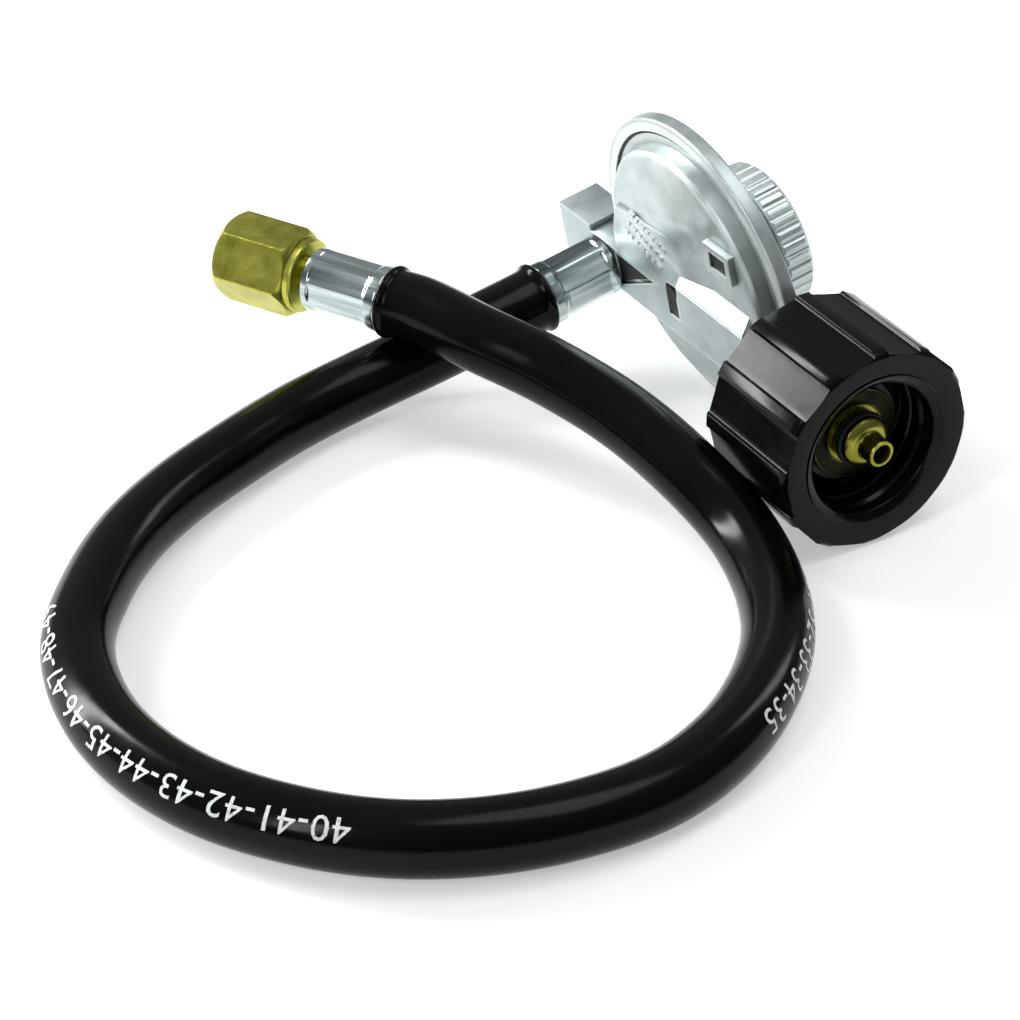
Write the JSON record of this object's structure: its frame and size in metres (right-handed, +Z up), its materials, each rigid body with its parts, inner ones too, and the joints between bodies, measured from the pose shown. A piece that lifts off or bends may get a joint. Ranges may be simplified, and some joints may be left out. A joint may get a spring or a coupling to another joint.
{
  "type": "propane regulator hose",
  "caption": "Low-pressure gas regulator lying on its rim, with a hand-tightened cylinder coupling, and a rubber hose that loops round to a crimped brass flare nut.",
  "frame": {"origin": "middle of the underside of the box round the regulator and its coupling, without the hose: the floor it lies on", "axes": "-Y is the way the inlet points, along the coupling's axis; +Z is up from the floor; +X is the side that the closing cap faces, and the outlet and hose leave on the -X side"},
  "size_m": [0.2128, 0.2179, 0.0744],
  "materials": {
    "cast_zinc": "pale grey zinc casting with a smooth clear coat",
    "plated_steel": "bright plated steel with crimp marks",
    "spring_steel": "drawn spring wire",
    "turned_brass": "machined brass with fine turning marks",
    "black_plastic": "moulded glossy black plastic",
    "hose_rubber": "smooth glossy black rubber cover with pale printed figures",
    "seal_rubber": "soft matt black rubber",
    "screen_steel": "fine woven screen"
  },
  "bodies": {
    "regulator": {"body": "cast_zinc", "bonnet": "cast_zinc", "crimp_ring": "cast_zinc", "vent_screen": "screen_steel", "port_plug": "plated_steel", "passage_plug": "plated_steel", "diaphragm": "seal_rubber", "main_spring": "spring_steel", "flow_spring": "spring_steel", "lever_pin": "plated_steel", "inlet_orifice": "turned_brass", "inlet_nipple": "turned_brass", "nipple_seal": "seal_rubber", "retaining_ring": "turned_brass", "outlet_barb": "plated_steel", "outlet_ferrule": "plated_steel", "hose": "hose_rubber", "flare_ferrule": "plated_steel", "flare_stem": "turned_brass"},
    "bushing": {"thermal_bushing": "black_plastic"},
    "wheel": {"coupling_nut": "black_plastic"},
    "poppet": {"flow_poppet": "turned_brass"},
    "plate": {"diaphragm_plate": "plated_steel"},
    "lever": {"valve_lever": "plated_steel"},
    "plug": {"valve_plug": "turned_brass", "seat_disc": "seal_rubber"},
    "seat": {"spring_seat": "plated_steel"},
    "screw": {"adjusting_screw": "plated_steel"},
    "gasket": {"cap_gasket": "seal_rubber"},
    "cap": {"closing_cap": "cast_zinc"},
    "flare_nut": {"flare_nut": "turned_brass"}
  },
  "joints": [
    {"name": "bushing_slide", "type": "slide", "parent": "regulator", "child": "bushing", "axis": [0, 1, 0], "range_m": [0, 0.0019]},
    {"name": "nut_turn", "type": "hinge", "parent": "bushing", "child": "wheel", "pos_m": [0, -0.04455, 0.02495], "axis": [0, 1, 0], "continuous": true},
    {"name": "poppet_slide", "type": "slide", "parent": "regulator", "child": "poppet", "axis": [0, 1, 0], "range_m": [0, 0.002], "stiffness_N_per_m": 60, "springref_m": -0.003, "deforming": ["flow_spring"]},
    {"name": "diaphragm_slide", "type": "slide", "parent": "regulator", "child": "plate", "axis": [0.9799, 0, 0.1994], "range_m": [-0.001, 0.0011], "stiffness_N_per_m": 300, "deforming": ["diaphragm", "main_spring"]},
    {"name": "lever_swing", "type": "hinge", "parent": "regulator", "child": "lever", "pos_m": [0.00176, 0.02245, 0.02531], "axis": [-0.1994, 0, 0.9799], "range_deg": [-4.78, 5.26]},
    {"name": "plug_slide", "type": "slide", "parent": "regulator", "child": "plug", "axis": [0, 1, 0], "range_m": [-0.000212, 0.000192]},
    {"name": "seat_slide", "type": "slide", "parent": "regulator", "child": "seat", "axis": [0.9799, 0, 0.1994], "range_m": [-0.0015, 0.0015], "deforming": ["main_spring"]},
    {"name": "screw_turn", "type": "hinge", "parent": "seat", "child": "screw", "pos_m": [0.01433, 0.01045, 0.03977], "axis": [0.9799, 0, 0.1994], "range_deg": [-360, 360]},
    {"name": "gasket_slide", "type": "slide", "parent": "regulator", "child": "gasket", "axis": [0.9799, 0, 0.1994], "range_m": [0, 0.0045]},
    {"name": "cap_turn", "type": "hinge", "parent": "gasket", "child": "cap", "pos_m": [0.01727, 0.01045, 0.04037], "axis": [0.9799, 0, 0.1994], "range_deg": [0, 1080]},
    {"name": "flare_nut_turn", "type": "hinge", "parent": "regulator", "child": "flare_nut", "pos_m": [-0.07558, 0.07384, 0.028], "axis": [-0.4695, 0.8829, 0], "continuous": true}
  ],
  "couplings": [
    {"joint": "lever_swing", "follows": "diaphragm_slide", "rad_per_m": 83.333},
    {"joint": "plug_slide", "follows": "diaphragm_slide", "ratio": -0.19167},
    {"joint": "seat_slide", "follows": "screw_turn", "m_per_rad": 0.00023873},
    {"joint": "gasket_slide", "follows": "cap_turn", "m_per_rad": 0.00023873}
  ]
}
